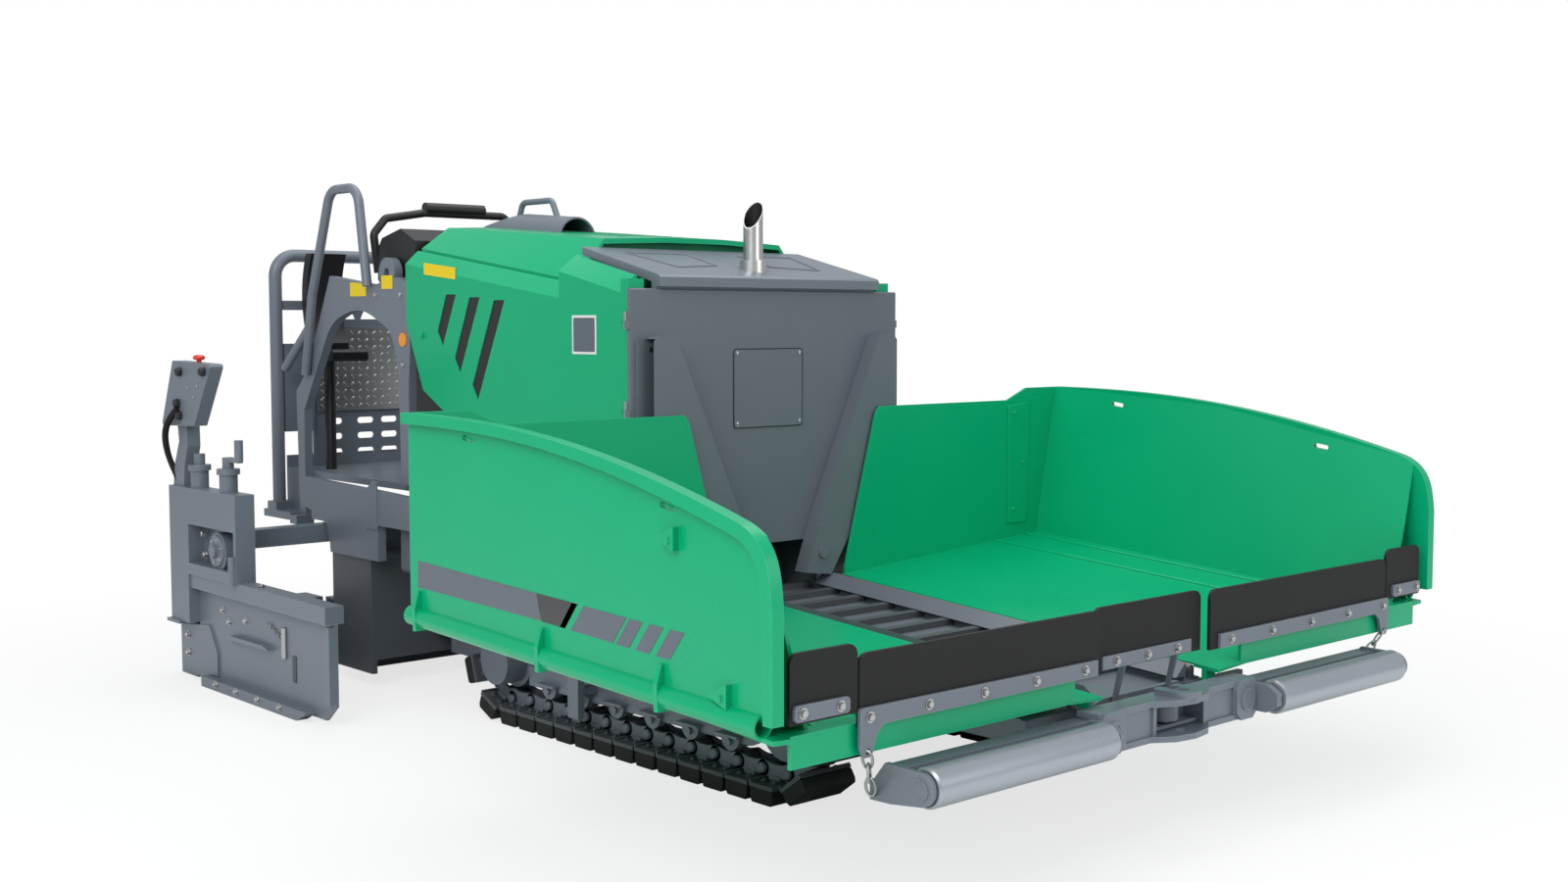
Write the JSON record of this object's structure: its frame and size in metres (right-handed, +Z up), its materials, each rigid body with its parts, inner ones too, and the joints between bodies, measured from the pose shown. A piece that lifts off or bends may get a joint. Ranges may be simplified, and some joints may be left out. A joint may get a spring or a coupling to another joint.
{
  "type": "compact tracked asphalt paver",
  "caption": "Compact asphalt paver on rubber-padded tracks with a folding hopper, push rollers, operator stand, augers and an extending screed.",
  "frame": {"origin": "on the ground under the middle of the whole machine, screed extended and hopper open", "axes": "+X forward to the hopper, +Y to the machine's left, +Z up"},
  "size_m": [4.87, 3.28, 2.193],
  "materials": {
    "green_paint": "gloss green paint",
    "grey_paint": "satin blue-grey paint",
    "dark_paint": "satin dark grey paint",
    "rubber": "matt black rubber",
    "black_plastic": "textured black",
    "bare_steel": "bare steel",
    "cast_iron": "dark cast iron"
  },
  "bodies": {
    "chassis": {"apron_bar_centre": "grey_paint", "apron_centre": "rubber", "auger_box": "grey_paint", "chassis_frame": "dark_paint", "console": "black_plastic", "console_guard": "black_plastic", "conveyor_bars": "cast_iron", "deflectors": "dark_paint", "engine_block": "cast_iron", "exhaust_pipe": "bare_steel", "handrails": "grey_paint", "hood_front_panel": "dark_paint", "hood_lid": "grey_paint", "hood_rear_wall": "dark_paint", "hood_sides": "dark_paint", "hood_top": "green_paint", "intake_cowl": "grey_paint", "operator_platform": "grey_paint", "platform_arches": "grey_paint", "rear_guard": "grey_paint", "rear_wall": "grey_paint", "seats": "black_plastic", "side_tanks": "dark_paint", "tow_brackets": "grey_paint", "track_frames": "dark_paint", "track_left": "rubber", "track_right": "rubber", "track_wheels": "cast_iron"},
    "hopper_left": {"apron_bar_left": "grey_paint", "apron_left": "rubber", "hopper_left": "green_paint"},
    "hopper_right": {"apron_bar_right": "grey_paint", "apron_right": "rubber", "hopper_right": "green_paint"},
    "auger_left": {"auger_left": "cast_iron"},
    "auger_right": {"auger_right": "cast_iron"},
    "extension_left": {"ext_column_left": "grey_paint", "ext_console_left": "grey_paint", "ext_end_plate_left": "grey_paint", "ext_screed_left": "grey_paint", "ext_spindles_left": "grey_paint"},
    "extension_right": {"ext_column_right": "grey_paint", "ext_console_right": "grey_paint", "ext_end_plate_right": "grey_paint", "ext_screed_right": "grey_paint", "ext_spindles_right": "grey_paint"},
    "hood_door_left": {"hood_door_left": "green_paint"},
    "hood_door_right": {"hood_door_right": "green_paint"},
    "push_beam": {"push_beam": "grey_paint"},
    "push_roller_left": {"push_roller_left": "grey_paint"},
    "push_roller_right": {"push_roller_right": "grey_paint"},
    "screed": {"screed_frame": "grey_paint", "tow_arms": "grey_paint"}
  },
  "joints": [
    {"name": "hopper_fold_left", "type": "hinge", "parent": "chassis", "child": "hopper_left", "pos_m": [0.535, 0.3, 0.574], "axis": [0.9976, 0, -0.0698], "range_deg": [0, 40]},
    {"name": "hood_door_swing_left", "type": "hinge", "parent": "chassis", "child": "hood_door_left", "pos_m": [0.43, 0.672, 1.4], "axis": [0, 0, -1], "range_deg": [0, 80]},
    {"name": "push_roller_spin_left", "type": "hinge", "parent": "push_beam", "child": "push_roller_left", "pos_m": [2.38, 0.8, 0.387], "axis": [0, 1, 0], "continuous": true},
    {"name": "auger_spin_left", "type": "hinge", "parent": "chassis", "child": "auger_left", "pos_m": [-1.505, 0.4, 0.275], "axis": [0, 1, 0], "continuous": true},
    {"name": "extension_slide_left", "type": "slide", "parent": "screed", "child": "extension_left", "axis": [0, -1, 0], "range_m": [0, 0.3]},
    {"name": "hopper_fold_right", "type": "hinge", "parent": "chassis", "child": "hopper_right", "pos_m": [0.535, -0.3, 0.574], "axis": [-0.9976, 0, 0.0698], "range_deg": [0, 40]},
    {"name": "hood_door_swing_right", "type": "hinge", "parent": "chassis", "child": "hood_door_right", "pos_m": [0.43, -0.672, 1.4], "axis": [0, 0, 1], "range_deg": [0, 80]},
    {"name": "push_roller_spin_right", "type": "hinge", "parent": "push_beam", "child": "push_roller_right", "pos_m": [2.38, -0.8, 0.387], "axis": [0, 1, 0], "continuous": true},
    {"name": "auger_spin_right", "type": "hinge", "parent": "chassis", "child": "auger_right", "pos_m": [-1.505, -0.4, 0.275], "axis": [0, 1, 0], "continuous": true},
    {"name": "extension_slide_right", "type": "slide", "parent": "screed", "child": "extension_right", "axis": [0, 1, 0], "range_m": [0, 0.3]},
    {"name": "push_beam_pivot", "type": "hinge", "parent": "chassis", "child": "push_beam", "pos_m": [2.262, 0, 0.387], "axis": [0, 0, 1], "range_deg": [-4, 4]},
    {"name": "screed_lift", "type": "hinge", "parent": "chassis", "child": "screed", "pos_m": [0.167, 0, 0.64], "axis": [0, 1, 0], "range_deg": [0, 4.5]}
  ]
}
